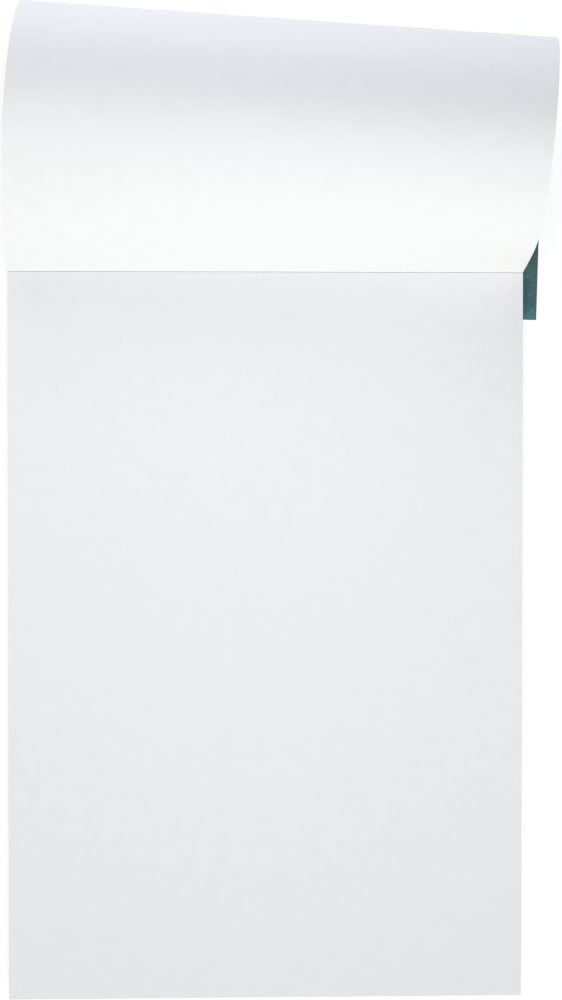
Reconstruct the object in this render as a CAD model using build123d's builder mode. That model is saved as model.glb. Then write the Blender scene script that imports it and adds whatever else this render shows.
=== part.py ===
from build123d import *
import os
from math import cos, pi, sin, sqrt

# A head-bound pad of bristol paper, lying on its back and open at its first sheet. The card cover is
# turned over the head edge: it rises from the binding, rolls over, and its free end lies under the pad.
# The origin is on the surface that the pad lies on, below the middle of the head edge. +Y runs from the
# foot of the sheets to the head, +X to the right along the head, and +Z is up.

os.makedirs("parts", exist_ok=True)

# Driving sizes in millimetres
sheet_width = 210
sheet_length = 297
sheet_thickness = 0.3
sheet_count = 20
board_thickness = 1.5
cover_thickness = 0.4
glue_thickness = 0.5

# How the cover rolls. Each side leaves the hinge straight, then bends, and lies flat at its free end. Its bend
# sets in and fades with a power each: the higher the power, the slower. The left side bends sooner, so it
# leans out lower and further than the right.
left_straight_length = 5
left_flat_length = 57
left_onset_power = 1.39
left_fade_power = 0.89
right_straight_length = 23
right_flat_length = 21
right_onset_power = 0.88
right_fade_power = 1.23

# How finely the roll is worked out: bands of card between straight sections, and steps within a band
section_count = 72
steps_per_section = 8
halvings = 50

# The stack, from the surface up. The flat end of the cover is lowest. The cover is cut to the sheets' size.
board_bottom = cover_thickness
block_bottom = board_bottom + board_thickness
block_thickness = sheet_count * sheet_thickness
block_top = block_bottom + block_thickness
cover_width = sheet_width
cover_length = sheet_length

# Lengths along the cover, and how far its middle layer comes down from the hinge to the landing
flat_length = min(left_flat_length, right_flat_length)
rolled_length = cover_length - flat_length
left_bend_length = cover_length - left_straight_length - left_flat_length
right_bend_length = cover_length - right_straight_length - right_flat_length
section_run = rolled_length / section_count
step_length = section_run / steps_per_section
landing_drop = block_top - cover_thickness / 2


def turn_shares(straight_length, bend_length, onset_power, fade_power):
    """Share of its whole turn that a side has made by the middle of each step along it."""
    weights = []
    for step in range(section_count * steps_per_section):
        along_bend = (step + 1 / 2) * step_length - straight_length
        along_share = min(max(along_bend / bend_length, 0), 1)
        weights.append(along_share**onset_power * (1 - along_share) ** fade_power)
    whole = sum(weights)
    made = 0
    shares = []
    for weight in weights:
        shares.append((made + weight / 2) / whole)
        made += weight
    return shares


def step_headings(straight_length, bend_length, onset_power, fade_power):
    """Headings of a side's steps, with the rise at the hinge that lands it flat on the surface."""
    shares = turn_shares(straight_length, bend_length, onset_power, fade_power)
    least_rise = 0
    most_rise = pi
    for _ in range(halvings):
        rise = (least_rise + most_rise) / 2
        headings = [rise - (pi + rise) * share for share in shares]
        drop = -step_length * sum(sin(heading) for heading in headings)
        if drop > landing_drop:
            least_rise = rise
        else:
            most_rise = rise
    return headings


def side_stations(headings, start_y):
    """Place and heading of a side at each section, from the hinge to the landing."""
    y = start_y
    z = block_top
    stations = [(y, z, headings[0])]
    for step, heading in enumerate(headings, start=1):
        y += step_length * cos(heading)
        z += step_length * sin(heading)
        if step % steps_per_section == 0:
            stations.append((y, z, heading))
    return stations


def section_planes(left_side, right_side):
    """Planes square to the cover, each across a pair of stations on its two sides."""
    planes = []
    drift = 0
    last_slope = 0
    for (left_y, left_z, left_heading), (right_y, right_z, right_heading) in zip(left_side, right_side):
        lead_y = right_y - left_y
        lead_z = right_z - left_z
        lead_x = sqrt(cover_width**2 - lead_y**2 - lead_z**2)
        forward_y = (cos(left_heading) + cos(right_heading)) / 2
        forward_z = (sin(left_heading) + sin(right_heading)) / 2
        slope = -(lead_y * forward_y + lead_z * forward_z) / lead_x
        if planes:
            drift += section_run * (last_slope + slope) / 2
        last_slope = slope
        middle = Vector(drift, (left_y + right_y) / 2, (left_z + right_z) / 2)
        across = Vector(lead_x, lead_y, lead_z)
        planes.append(Plane(middle, x_dir=across, z_dir=Vector(slope, forward_y, forward_z)))
    return planes


# Paper block: all the sheets, trimmed flush
with BuildPart() as paper_block:
    with BuildSketch(Plane.XY.offset(block_bottom)):
        Rectangle(sheet_width, sheet_length, align=(Align.CENTER, Align.MAX))
    extrude(amount=block_thickness)
paper_block.part.label = "paper_block"
export_step(paper_block.part, "parts/paper_block.step")

# Backing board: stiff greyboard under the sheets, trimmed with them
with BuildPart() as backing_board:
    with BuildSketch(Plane.XY.offset(board_bottom)):
        Rectangle(sheet_width, sheet_length, align=(Align.CENTER, Align.MAX))
    extrude(amount=board_thickness)
backing_board.part.label = "backing_board"
export_step(backing_board.part, "parts/backing_board.step")

# Binding glue: a film over the head edges of the sheets and the board
with BuildPart() as binding_glue:
    with BuildSketch(Plane.XY.offset(board_bottom)):
        Rectangle(sheet_width, glue_thickness, align=(Align.CENTER, Align.MIN))
    extrude(amount=board_thickness + block_thickness)
binding_glue.part.label = "binding_glue"
export_step(binding_glue.part, "parts/binding_glue.step")

# Cover: a card rolled over the head. Its root is cut level and stands on the glue film.
left_headings = step_headings(left_straight_length, left_bend_length, left_onset_power, left_fade_power)
right_headings = step_headings(right_straight_length, right_bend_length, right_onset_power, right_fade_power)
root_depth = cover_thickness / sin((left_headings[0] + right_headings[0]) / 2)
left_stations = side_stations(left_headings, root_depth / 2)
right_stations = side_stations(right_headings, root_depth / 2)
roll_planes = section_planes(left_stations, right_stations)
landing_plane = roll_planes[-1]

with BuildPart() as cover:
    with BuildSketch(Plane.XY.offset(block_top)):
        Rectangle(cover_width, root_depth, align=(Align.CENTER, Align.MIN))
    for roll_plane in roll_planes[1:]:
        with BuildSketch(roll_plane):
            Rectangle(cover_width, cover_thickness)
    loft(ruled=True)
    with BuildSketch(landing_plane):
        Rectangle(cover_width, cover_thickness)
    extrude(amount=flat_length)
cover.part.label = "cover"
export_step(cover.part, "parts/cover.step")
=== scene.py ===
import math
import random
from collections import namedtuple

import bpy
import numpy as np
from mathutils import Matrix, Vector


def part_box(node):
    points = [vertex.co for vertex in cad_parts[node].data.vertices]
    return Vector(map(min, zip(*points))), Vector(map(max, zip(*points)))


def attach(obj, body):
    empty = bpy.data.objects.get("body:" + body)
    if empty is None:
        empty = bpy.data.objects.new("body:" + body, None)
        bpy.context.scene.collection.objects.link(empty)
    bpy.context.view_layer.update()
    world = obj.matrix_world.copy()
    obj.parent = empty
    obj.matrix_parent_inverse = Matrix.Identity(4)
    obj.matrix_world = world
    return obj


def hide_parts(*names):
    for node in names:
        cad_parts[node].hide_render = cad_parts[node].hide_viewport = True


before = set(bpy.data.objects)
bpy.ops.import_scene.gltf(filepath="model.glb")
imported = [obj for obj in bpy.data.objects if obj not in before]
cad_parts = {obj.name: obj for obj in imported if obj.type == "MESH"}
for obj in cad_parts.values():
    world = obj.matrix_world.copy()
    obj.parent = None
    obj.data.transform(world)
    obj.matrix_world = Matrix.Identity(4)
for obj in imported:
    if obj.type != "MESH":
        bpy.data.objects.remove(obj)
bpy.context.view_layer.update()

# A bristol pad seen almost straight from above: a stack of white sheets on greyboard, glued at the head,
# with the card cover turned over the head edge, rolled, and lying with its printed side up under the pad.
# Lengths are in metres. +Y runs from the foot of the sheets to the head, and +Z is up.

MM = 0.001
SEED = 11

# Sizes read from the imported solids
block_low, block_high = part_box("paper_block")
board_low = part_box("backing_board")[0]
sheet_width = block_high.x - block_low.x
sheet_length = block_high.y - block_low.y
block_thickness = block_high.z - block_low.z
sheet_top = block_high.z
head_y = block_high.y
cover_thickness = board_low.z

# The sheets: their count, and how unevenly a trimmed stack lies
sheet_count = 20
sheet_gap = 0.012 * MM
sheet_edge_round = 0.05 * MM
trim_scatter = 0.1 * MM
hinge_slit = 0.2 * MM

# The roll, as the solids have it. Each side leaves the hinge straight, then bends, and lies flat at its
# free end. Its bend sets in and fades with a power each.
left_straight_length = 5 * MM
left_flat_length = 57 * MM
left_onset_power = 1.39
left_fade_power = 0.89
right_straight_length = 23 * MM
right_flat_length = 21 * MM
right_onset_power = 0.88
right_fade_power = 1.23

# The solids' roll is in flat bands, so its box lies a hair inside the true curve. To stay in that box, the
# white face is set in, and the card is a hair narrower than the sheets.
band_sag = 0.05 * MM
cover_trim = 0.02 * MM
cover_width = sheet_width - 2 * cover_trim
cover_steps = 240
cover_columns = 48
halvings = 50

# The cover's looks, with the painted highlight along its crease and the painted shade along its rim: where
# each starts and ends, measured from the hinge, a side or the free end, and how far the border of the rim
# wanders
crease_highlight_from_hinge = (0.4 * MM, 1.6 * MM)
rim_from_side = (0.5 * MM, 1.4 * MM)
rim_from_end = (0.2 * MM, 0.9 * MM)
worn_from_end = (1.5 * MM, 5.5 * MM)
green_from_end = (12 * MM, 22 * MM)
rim_wobble = 0.6 * MM

# The floor: it shows a grey with a glow of its own, which fades to plain white between two distances from
# the middle. The light that it gives back to the pad is that of a pale floor.
floor_size = 6
floor_drop = 0.2 * MM
floor_fade = (0.35, 0.65)
floor_shown_grey = 0.30
floor_glow = 0.79
floor_bounce_greys = (0.79, 0.81)

# The light: even light from all round, and soft lamps fitted to the tones of the paper in the photograph
Lamp = namedtuple("Lamp", "name place size watts colour")
world_strength = 0.385
lamp_aim = (0, -0.05, 0.03)
lamps = [
    Lamp("front_softbox", (0, -1.9, 0.75), (1.2, 0.9), 24.2, (1.0, 0.99, 0.94)),
    Lamp("top_softbox", (0, -0.12, 0.4), (0.2, 0.2), 0.39, (0.90, 0.93, 1.0)),
    Lamp("back_softbox", (-0.1, 0.35, 0.35), (0.4, 0.2), 0.62, (0.90, 0.90, 1.0)),
    Lamp("back_low_softbox", (0, 0.6, 0.05), (0.6, 0.08), 1.12, (0.89, 0.93, 1.0)),
    Lamp("right_low_softbox", (0.7, 0.06, 0.14), (0.3, 0.2), 0.6, (1.0, 1.0, 1.0)),
    Lamp("left_low_softbox", (-0.7, 0.06, 0.14), (0.3, 0.2), 0.6, (1.0, 1.0, 1.0)),
]

# The camera, fitted to the outline in the photograph, 562 by 1000 pixels
camera_place = (-42.48 * MM, -59.51 * MM, 1128.68 * MM)
camera_turn = (-0.0298, -0.04327, -0.00085)
camera_reach = 20
frame_height_pixels = 1000
focal_pixels = 2751.4
sensor_height_mm = 36

# Places in a piece's list of materials
WHITE_FACE, PRINTED_FACE, CUT_EDGE = range(3)
SHEET_FACE, SHEET_EDGE = range(2)

# Sockets of a Mix node that mixes colours: its two colours and its result
MIX_FIRST, MIX_SECOND, MIX_RESULT = 6, 7, 2


# Mesh helpers

def new_mesh_object(name, points, faces, materials, face_materials=None, smooth=True):
    """An object in the scene from points and faces, with its materials."""
    mesh = bpy.data.meshes.new(name)
    mesh.from_pydata([tuple(p) for p in points], [], faces)
    for material in materials:
        mesh.materials.append(material)
    if face_materials is not None:
        mesh.polygons.foreach_set("material_index", face_materials)
    mesh.polygons.foreach_set("use_smooth", [smooth] * len(mesh.polygons))
    mesh.update()
    piece = bpy.data.objects.new(name, mesh)
    bpy.context.scene.collection.objects.link(piece)
    return piece


def quads(a, b, c, d):
    """Four-sided faces, one for each place in four grids of point numbers."""
    return np.stack([a, b, c, d], axis=-1).reshape(-1, 4).tolist()


def refinish(node, material):
    """A CAD solid that keeps its shape and gets a new material."""
    node.data.materials.clear()
    node.data.materials.append(material)


# Material helpers

class Nodes:
    """The node tree of a material or of the world, with short ways to add and link its nodes."""

    def __init__(self, owner, shader_name):
        owner.use_nodes = True
        self.owner = owner
        self.tree = owner.node_tree
        self.shader = self.tree.nodes[shader_name]

    def add(self, kind, inputs=None, **settings):
        node = self.tree.nodes.new(kind)
        for key, value in settings.items():
            setattr(node, key, value)
        for key, value in (inputs or {}).items():
            self.feed(node.inputs[key], value)
        return node

    def feed(self, socket, value):
        if isinstance(value, bpy.types.NodeSocket):
            self.tree.links.new(value, socket)
        else:
            socket.default_value = value

    def object_place(self):
        return self.add("ShaderNodeTexCoord").outputs["Object"]

    def flat_place(self):
        return self.add("ShaderNodeTexCoord").outputs["UV"]

    def noise(self, where, scale, detail=3, roughness=0.5, stretch=(1, 1, 1)):
        mapping = self.add("ShaderNodeMapping", {"Vector": where, "Scale": stretch})
        node = self.add("ShaderNodeTexNoise", {
            "Vector": mapping.outputs["Vector"], "Scale": scale, "Detail": detail, "Roughness": roughness,
        })
        return node.outputs["Fac"]

    def math(self, operation, a, b=0.0, clamp=False):
        node = self.add("ShaderNodeMath", {0: a, 1: b}, operation=operation, use_clamp=clamp)
        return node.outputs[0]

    def weigh(self, a, b, share_of_a):
        part_a = self.math("MULTIPLY", a, share_of_a)
        part_b = self.math("MULTIPLY", b, 1 - share_of_a)
        return self.math("ADD", part_a, part_b)

    def spread(self, value, low, high, to_low=0.0, to_high=1.0):
        node = self.add("ShaderNodeMapRange", {
            "Value": value, "From Min": low, "From Max": high, "To Min": to_low, "To Max": to_high,
        })
        return node.outputs["Result"]

    def mix(self, share, a, b):
        node = self.add("ShaderNodeMix", {"Factor": share, MIX_FIRST: a, MIX_SECOND: b}, data_type="RGBA")
        return node.outputs[MIX_RESULT]

    def surface(self, colour, roughness, specular=0.5):
        self.feed(self.shader.inputs["Base Color"], colour)
        self.feed(self.shader.inputs["Roughness"], roughness)
        self.feed(self.shader.inputs["Specular IOR Level"], specular)

    def bump(self, height, distance, strength):
        node = self.add("ShaderNodeBump", {"Height": height, "Distance": distance, "Strength": strength})
        self.feed(self.shader.inputs["Normal"], node.outputs["Normal"])


def new_material(name):
    return Nodes(bpy.data.materials.new(name), "Principled BSDF")


def rgb(red, green, blue):
    return (red, green, blue, 1.0)


def grey(level):
    return rgb(level, level, level)


# Materials

def bristol_paper():
    """Smooth white paper: a faint cloudy formation, a fine tooth and almost no gloss."""
    n = new_material("bristol_paper")
    where = n.object_place()
    cloud = n.noise(where, scale=160, detail=4, roughness=0.6)
    tooth = n.noise(where, scale=2600, detail=3, roughness=0.6)
    tone = n.weigh(cloud, tooth, 0.7)
    colour = n.mix(n.spread(tone, 0.35, 0.65), rgb(0.860, 0.869, 0.873), rgb(0.878, 0.887, 0.891))
    n.surface(colour, n.spread(tooth, 0.3, 0.7, 0.72, 0.86), specular=0.25)
    n.bump(tooth, distance=0.02 * MM, strength=0.35)
    return n.owner


def paper_edge():
    """The trimmed edges of the sheets: greyer than their faces, in faint layers, as painted shade of the
    gaps between the sheets.
    """
    n = new_material("paper_edge")
    where = n.object_place()
    gap_shade_layers = n.noise(where, scale=1, detail=2, roughness=0.6, stretch=(25, 25, 3300))
    fibre = n.noise(where, scale=2400, detail=3, roughness=0.7)
    tone = n.weigh(gap_shade_layers, fibre, 0.65)
    # Painted shade: the edges are greyer than the faces, in faint bands between the sheets
    colour = n.mix(n.spread(tone, 0.36, 0.64), rgb(0.645, 0.652, 0.655), rgb(0.768, 0.776, 0.781))
    n.surface(colour, n.spread(fibre, 0.3, 0.7, 0.80, 0.92), specular=0.2)
    n.bump(tone, distance=0.03 * MM, strength=0.5)
    return n.owner


def cover_inside():
    """The unprinted side of the cover: smooth white card, with a painted highlight along the crease at the
    hinge.
    """
    n = new_material("cover_inside")
    where = n.flat_place()
    cloud = n.noise(where, scale=120, detail=4, roughness=0.55)
    tooth = n.noise(where, scale=2200, detail=2, roughness=0.5)
    from_hinge = n.add("ShaderNodeSeparateXYZ", {0: where}).outputs["Y"]
    crease_highlight = n.spread(from_hinge, *crease_highlight_from_hinge, to_low=1.0, to_high=0.0)
    colour = n.mix(n.spread(cloud, 0.35, 0.65), rgb(0.780, 0.793, 0.795), rgb(0.794, 0.807, 0.809))
    # Painted highlight: paler along the crease at the hinge
    colour = n.mix(crease_highlight, colour, rgb(0.84, 0.85, 0.85))
    n.surface(colour, n.spread(cloud, 0.3, 0.7, 0.58, 0.68), specular=0.3)
    n.bump(tooth, distance=0.015 * MM, strength=0.3)
    return n.owner


def cover_print():
    """The printed side of the cover: a mottled teal wash, brighter at its free end, with a painted grey
    shade along its rim.
    """
    blue_wash = rgb(0.057, 0.147, 0.170)
    green_wash = rgb(0.086, 0.183, 0.166)
    light_patch = rgb(0.093, 0.302, 0.314)
    dark_speck = rgb(0.037, 0.087, 0.098)
    worn_teal = rgb(0.098, 0.318, 0.319)
    dark_grain = rgb(0.033, 0.076, 0.083)
    # The grey of the painted shade along the rim
    rim_shade_grey = rgb(0.084, 0.126, 0.126)
    n = new_material("cover_print")
    where = n.flat_place()
    wash = n.noise(where, scale=60, detail=3, roughness=0.5)
    patch = n.noise(where, scale=420, detail=4, roughness=0.6)
    speck = n.noise(where, scale=1000, detail=3, roughness=0.6)
    grain = n.noise(where, scale=3200, detail=2, roughness=0.6)
    from_side, from_end = card_distances(n, where)
    green = n.spread(from_end, *green_from_end, to_low=-0.3, to_high=0.4)
    green = n.math("ADD", n.spread(wash, 0.38, 0.62), green, clamp=True)
    worn = n.spread(from_end, *worn_from_end, to_low=1.0, to_high=0.0)
    worn = n.math("MULTIPLY", worn, n.spread(patch, 0.35, 0.6, 0.25, 0.75))
    colour = n.mix(green, blue_wash, green_wash)
    colour = n.mix(n.spread(patch, 0.5, 0.7, 0.0, 0.75), colour, light_patch)
    colour = n.mix(n.spread(speck, 0.3, 0.5, 0.6, 0.0), colour, dark_speck)
    colour = n.mix(worn, colour, worn_teal)
    colour = n.mix(n.spread(grain, 0.35, 0.65, 0.3, 0.0), colour, dark_grain)
    # Painted shade: the print goes grey along the card's cut edges
    colour = n.mix(painted_rim_shade(n, from_side, from_end, speck), colour, rim_shade_grey)
    n.surface(colour, n.spread(patch, 0.3, 0.7, 0.56, 0.70), specular=0.28)
    n.bump(grain, distance=0.01 * MM, strength=0.3)
    return n.owner


def card_distances(n, where):
    """How far a place on the flat card is from its nearer side and from its free end."""
    place = n.add("ShaderNodeSeparateXYZ", {0: where})
    from_left = place.outputs["X"]
    from_right = n.math("SUBTRACT", sheet_width, from_left)
    from_side = n.math("MINIMUM", from_left, from_right)
    from_end = n.math("SUBTRACT", sheet_length, place.outputs["Y"])
    return from_side, from_end


def painted_rim_shade(n, from_side, from_end, speck):
    """Painted shade along the card's cut edges: most along its sides, less at its free end, with an uneven
    border.
    """
    wobble = n.math("MULTIPLY", n.math("SUBTRACT", speck, 0.5), rim_wobble)
    at_side = n.spread(n.math("ADD", from_side, wobble), *rim_from_side, to_low=0.8, to_high=0.0)
    at_end = n.spread(n.math("ADD", from_end, wobble), *rim_from_end, to_low=0.45, to_high=0.0)
    return n.math("MAXIMUM", at_side, at_end)


def card_core():
    """The cut edge of the card: pale fibre, a little grey."""
    n = new_material("card_core")
    fibre = n.noise(n.object_place(), scale=3000, detail=3, roughness=0.7)
    colour = n.mix(n.spread(fibre, 0.3, 0.7), rgb(0.62, 0.62, 0.60), rgb(0.76, 0.76, 0.74))
    n.surface(colour, n.spread(fibre, 0.3, 0.7, 0.8, 0.9))
    n.bump(fibre, distance=0.02 * MM, strength=0.5)
    return n.owner


def greyboard():
    """Recycled board: grey pulp with long pale fibres and small dark flecks."""
    n = new_material("greyboard")
    where = n.object_place()
    pulp = n.noise(where, scale=220, detail=5, roughness=0.65)
    long_way = n.noise(where, scale=900, detail=3, roughness=0.6, stretch=(1, 0.12, 1))
    cross_way = n.noise(where, scale=900, detail=3, roughness=0.6, stretch=(0.12, 1, 1))
    flecks = n.noise(where, scale=1500, detail=2, roughness=0.5)
    fibres = n.math("MAXIMUM", n.spread(long_way, 0.60, 0.72), n.spread(cross_way, 0.62, 0.74))
    colour = n.mix(n.spread(pulp, 0.3, 0.7), rgb(0.270, 0.262, 0.238), rgb(0.345, 0.335, 0.305))
    colour = n.mix(n.math("MULTIPLY", fibres, 0.45), colour, rgb(0.47, 0.46, 0.43))
    colour = n.mix(n.spread(flecks, 0.70, 0.76, 0.0, 0.7), colour, rgb(0.10, 0.10, 0.105))
    n.surface(colour, n.spread(pulp, 0.3, 0.7, 0.82, 0.92), specular=0.2)
    n.bump(n.math("ADD", long_way, pulp), distance=0.04 * MM, strength=0.5)
    return n.owner


def padding_glue():
    """Dried padding glue: milky and slightly glossy, thinner in places."""
    n = new_material("padding_glue")
    ripple = n.noise(n.object_place(), scale=350, detail=3, roughness=0.5, stretch=(0.4, 1, 1))
    colour = n.mix(n.spread(ripple, 0.3, 0.7), rgb(0.72, 0.73, 0.70), rgb(0.84, 0.84, 0.81))
    n.surface(colour, n.spread(ripple, 0.3, 0.7, 0.25, 0.42))
    n.bump(ripple, distance=0.06 * MM, strength=0.4)
    return n.owner


# The rolled cover

def side_path(straight_length, flat_length, onset_power, fade_power):
    """One side of the cover: y and z in steps from the hinge to the free end, and its rise at the hinge."""
    step_length = sheet_length / cover_steps
    along = (np.arange(cover_steps) + 0.5) * step_length
    bend_length = sheet_length - straight_length - flat_length
    share = np.clip((along - straight_length) / bend_length, 0, 1)
    weight = share**onset_power * (1 - share) ** fade_power
    turned = (np.cumsum(weight) - weight / 2) / weight.sum()
    landing_drop = sheet_top - cover_thickness / 2
    # The rise is found by halving, so that the free end lands on the surface
    least_rise, most_rise = 0.0, math.pi
    for _ in range(halvings):
        rise = (least_rise + most_rise) / 2
        heading = rise - (math.pi + rise) * turned
        if -step_length * np.sin(heading).sum() > landing_drop:
            least_rise = rise
        else:
            most_rise = rise
    y = np.concatenate([[0], np.cumsum(step_length * np.cos(heading))])
    z = sheet_top + np.concatenate([[0], np.cumsum(step_length * np.sin(heading))])
    return y, z, rise


def cover_middle():
    """The card's middle layer as points, by steps along it and columns across it, and its root's depth."""
    left_y, left_z, left_rise = side_path(
        left_straight_length, left_flat_length, left_onset_power, left_fade_power)
    right_y, right_z, right_rise = side_path(
        right_straight_length, right_flat_length, right_onset_power, right_fade_power)
    root_depth = cover_thickness / math.sin((left_rise + right_rise) / 2)
    # Straight lines join the two sides. Each is as long as the card is wide, and the middle drifts sideways
    # so that it stays square to them.
    lead_y, lead_z = right_y - left_y, right_z - left_z
    lead_x = np.sqrt(cover_width**2 - lead_y**2 - lead_z**2)
    middle_y, middle_z = (left_y + right_y) / 2, (left_z + right_z) / 2
    slope = -(lead_y * np.gradient(middle_y) + lead_z * np.gradient(middle_z)) / lead_x
    drift = np.concatenate([[0], np.cumsum((slope[1:] + slope[:-1]) / 2)])
    left = np.stack([drift - lead_x / 2, left_y + root_depth / 2, left_z], axis=1)
    right = np.stack([drift + lead_x / 2, right_y + root_depth / 2, right_z], axis=1)
    across = np.linspace(0, 1, cover_columns + 1)[None, :, None]
    return left[:, None, :] * (1 - across) + right[:, None, :] * across, root_depth


def card_faces(middle, root_depth):
    """Points of the card's white face and of its printed face, on either side of its middle layer."""
    forward = np.gradient(middle, axis=0)
    sideways = np.gradient(middle, axis=1)
    outward = np.cross(sideways, forward)
    outward /= np.linalg.norm(outward, axis=2, keepdims=True)
    white = middle + outward * (cover_thickness / 2 - band_sag)
    printed = middle - outward * cover_thickness / 2
    # The root is cut level, and stands on the glue
    white[0, :, 1] = head_y
    printed[0, :, 1] = head_y + root_depth
    white[0, :, 2] = printed[0, :, 2] = sheet_top
    return white, printed


def cover_quads(rows, columns):
    """The card's faces by point numbers, its white points first, and each face's place in its materials."""
    white = np.arange(rows * columns).reshape(rows, columns)
    printed = white + rows * columns
    white_side = quads(white[:-1, :-1], white[:-1, 1:], white[1:, 1:], white[1:, :-1])
    printed_side = quads(printed[:-1, :-1], printed[1:, :-1], printed[1:, 1:], printed[:-1, 1:])
    cuts = quads(white[:-1, 0], white[1:, 0], printed[1:, 0], printed[:-1, 0])
    cuts += quads(white[1:, -1], white[:-1, -1], printed[:-1, -1], printed[1:, -1])
    cuts += quads(white[0, 1:], white[0, :-1], printed[0, :-1], printed[0, 1:])
    cuts += quads(white[-1, :-1], white[-1, 1:], printed[-1, 1:], printed[-1, :-1])
    kinds = [WHITE_FACE] * len(white_side) + [PRINTED_FACE] * len(printed_side) + [CUT_EDGE] * len(cuts)
    return white_side + printed_side + cuts, kinds


def lay_flat_map(cover, rows, columns):
    """A map of places on the flat card: across it, and along it from the hinge, in metres."""
    flat = cover.data.uv_layers.new(name="flat_card")
    for loop in cover.data.loops:
        row, column = divmod(loop.vertex_index % (rows * columns), columns)
        flat.data[loop.index].uv = (column / (columns - 1) * sheet_width, row / (rows - 1) * sheet_length)


def mark_rim_sharp(cover, rows, columns):
    """Sharp edges all round both faces of the card, so that its cut edge shades as a flat cut."""
    on_rim = np.ones((2, rows, columns), dtype=bool)
    on_rim[:, 1:-1, 1:-1] = False
    on_rim = on_rim.ravel()
    for edge in cover.data.edges:
        first, second = edge.vertices
        edge.use_edge_sharp = bool(on_rim[first] and on_rim[second])


def build_cover():
    """The card with its white and printed faces and its cut edges, as one closed mesh."""
    white, printed = card_faces(*cover_middle())
    rows, columns = white.shape[:2]
    points = np.concatenate([white.reshape(-1, 3), printed.reshape(-1, 3)])
    faces, kinds = cover_quads(rows, columns)
    materials = [cover_inside(), cover_print(), card_core()]
    cover = new_mesh_object("rolled_cover", points, faces, materials, kinds)
    lay_flat_map(cover, rows, columns)
    mark_rim_sharp(cover, rows, columns)
    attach(cover, "root")
    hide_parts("cover")


# The sheets

def slab_points(low, high, edge_round):
    """Four rings of corners: a slab whose upper and lower edges are slightly rounded."""
    rings = [
        (low[2], edge_round),
        (low[2] + edge_round, 0),
        (high[2] - edge_round, 0),
        (high[2], edge_round),
    ]
    points = []
    for z, inset in rings:
        x0, y0 = low[0] + inset, low[1] + inset
        x1, y1 = high[0] - inset, high[1] - inset
        points += [(x0, y0, z), (x1, y0, z), (x1, y1, z), (x0, y1, z)]
    return points


def slab_faces(first):
    """Faces of one slab whose points start at this number, and each face's place in its materials."""
    rings = first + np.arange(16).reshape(4, 4)
    onward = np.roll(rings, -1, axis=1)
    flats = [rings[0, ::-1].tolist(), rings[-1].tolist()]
    edges = quads(rings[:-1], onward[:-1], onward[1:], rings[1:])
    return flats + edges, [SHEET_FACE] * len(flats) + [SHEET_EDGE] * len(edges)


def build_sheets():
    """All the sheets, each a thin slab trimmed almost flush. The top one stands a slit off the cover."""
    draw = random.Random(SEED)
    caliper = block_thickness / sheet_count
    points, faces, kinds = [], [], []
    for sheet in range(sheet_count):
        on_top = sheet == sheet_count - 1
        slit = hinge_slit if on_top else 0
        gap = 0 if on_top else sheet_gap
        low_x = block_low.x + draw.uniform(0, trim_scatter)
        low_y = block_low.y + draw.uniform(0, trim_scatter)
        high_x = block_high.x - draw.uniform(0, trim_scatter)
        low_z = block_low.z + sheet * caliper
        slab, slab_kinds = slab_faces(len(points))
        faces += slab
        kinds += slab_kinds
        points += slab_points(
            (low_x, low_y, low_z), (high_x, head_y - slit, low_z + caliper - gap), sheet_edge_round)
    materials = [bristol_paper(), paper_edge()]
    sheets = new_mesh_object("bristol_sheets", points, faces, materials, kinds, smooth=False)
    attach(sheets, "root")
    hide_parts("paper_block")


# Stage, light and camera

def seen_ray(n):
    """1 for rays that show a surface to the camera, straight or in a reflection or through glass."""
    path = n.add("ShaderNodeLightPath")
    seen = n.math("MAXIMUM", path.outputs["Is Camera Ray"], path.outputs["Is Glossy Ray"])
    return n.math("MAXIMUM", seen, path.outputs["Is Transmission Ray"])


def pale_floor():
    """Pale and plain: white to the camera, with a soft shadow near the pad."""
    n = new_material("pale_floor")
    where = n.object_place()
    from_middle = n.add("ShaderNodeVectorMath", {0: where}, operation="LENGTH").outputs["Value"]
    grain = n.noise(where, scale=40, detail=2)
    darker, lighter = floor_bounce_greys
    bounce = n.add("ShaderNodeBsdfDiffuse", {"Color": n.mix(grain, grey(darker), grey(lighter))})
    lit = n.add("ShaderNodeBsdfDiffuse", {"Color": grey(floor_shown_grey)})
    glow = n.add("ShaderNodeEmission", {"Color": grey(1), "Strength": floor_glow})
    near = n.add("ShaderNodeAddShader", {0: lit.outputs[0], 1: glow.outputs[0]})
    white = n.add("ShaderNodeEmission", {"Color": grey(1), "Strength": 1.0})
    far_share = n.spread(from_middle, *floor_fade)
    shown = n.add("ShaderNodeMixShader", {0: far_share, 1: near.outputs[0], 2: white.outputs[0]})
    pick = n.add("ShaderNodeMixShader", {0: seen_ray(n), 1: bounce.outputs[0], 2: shown.outputs[0]})
    n.feed(n.tree.nodes["Material Output"].inputs["Surface"], pick.outputs[0])
    return n.owner


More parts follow.
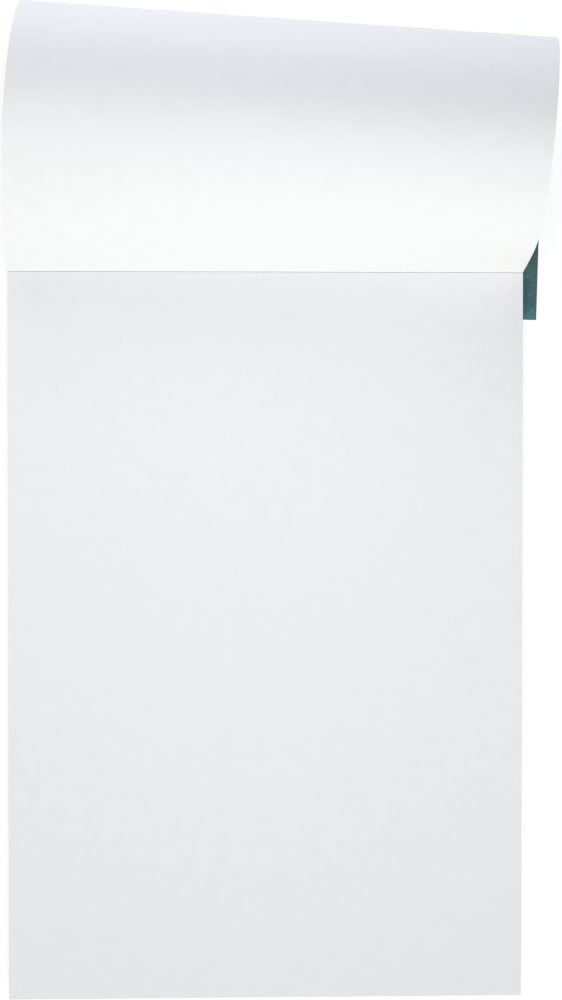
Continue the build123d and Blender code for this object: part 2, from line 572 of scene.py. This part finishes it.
def build_floor():
    """One large square under the pad."""
    half = floor_size / 2
    corners = [(x, y, -floor_drop) for x, y in ((-half, -half), (half, -half), (half, half), (-half, half))]
    floor = new_mesh_object("floor", corners, [(0, 1, 2, 3)], [pale_floor()], smooth=False)


def build_world():
    """Even light from all round, white where the camera sees it."""
    world = bpy.data.worlds.new("studio")
    bpy.context.scene.world = world
    n = Nodes(world, "Background")
    n.feed(n.shader.inputs["Color"], grey(1))
    n.feed(n.shader.inputs["Strength"], world_strength)
    white = n.add("ShaderNodeBackground", {"Color": grey(1), "Strength": 1.0})
    pick = n.add("ShaderNodeMixShader", {0: seen_ray(n), 1: n.shader.outputs[0], 2: white.outputs[0]})
    n.feed(n.tree.nodes["World Output"].inputs["Surface"], pick.outputs[0])


def hang_lamp(lamp):
    """A soft rectangular lamp at its place, turned to the point that all the lamps aim at."""
    light = bpy.data.lights.new(lamp.name, "AREA")
    light.shape = "RECTANGLE"
    light.size, light.size_y = lamp.size
    light.energy = lamp.watts
    light.color = lamp.colour
    holder = bpy.data.objects.new(lamp.name, light)
    bpy.context.scene.collection.objects.link(holder)
    holder.visible_camera = False
    holder.location = lamp.place
    x, y, z = np.array(lamp_aim) - np.array(lamp.place)
    tilt = math.atan2(math.hypot(x, y), -z)
    turn = math.atan2(-x, y)
    holder.rotation_euler = (tilt, 0, turn)


def build_camera():
    """A long lens above the pad, looking almost straight down."""
    lens = bpy.data.cameras.new("above")
    lens.sensor_fit = "VERTICAL"
    lens.sensor_height = sensor_height_mm
    lens.lens = focal_pixels / frame_height_pixels * sensor_height_mm
    lens.clip_end = camera_reach
    camera = bpy.data.objects.new("above", lens)
    bpy.context.scene.collection.objects.link(camera)
    camera.location = camera_place
    camera.rotation_mode = "ZYX"
    camera.rotation_euler = camera_turn
    bpy.context.scene.camera = camera


build_cover()
build_sheets()
refinish(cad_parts["backing_board"], greyboard())
refinish(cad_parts["binding_glue"], padding_glue())
build_floor()
build_world()
for lamp in lamps:
    hang_lamp(lamp)
build_camera()

bpy.context.scene.view_settings.view_transform = "Standard"
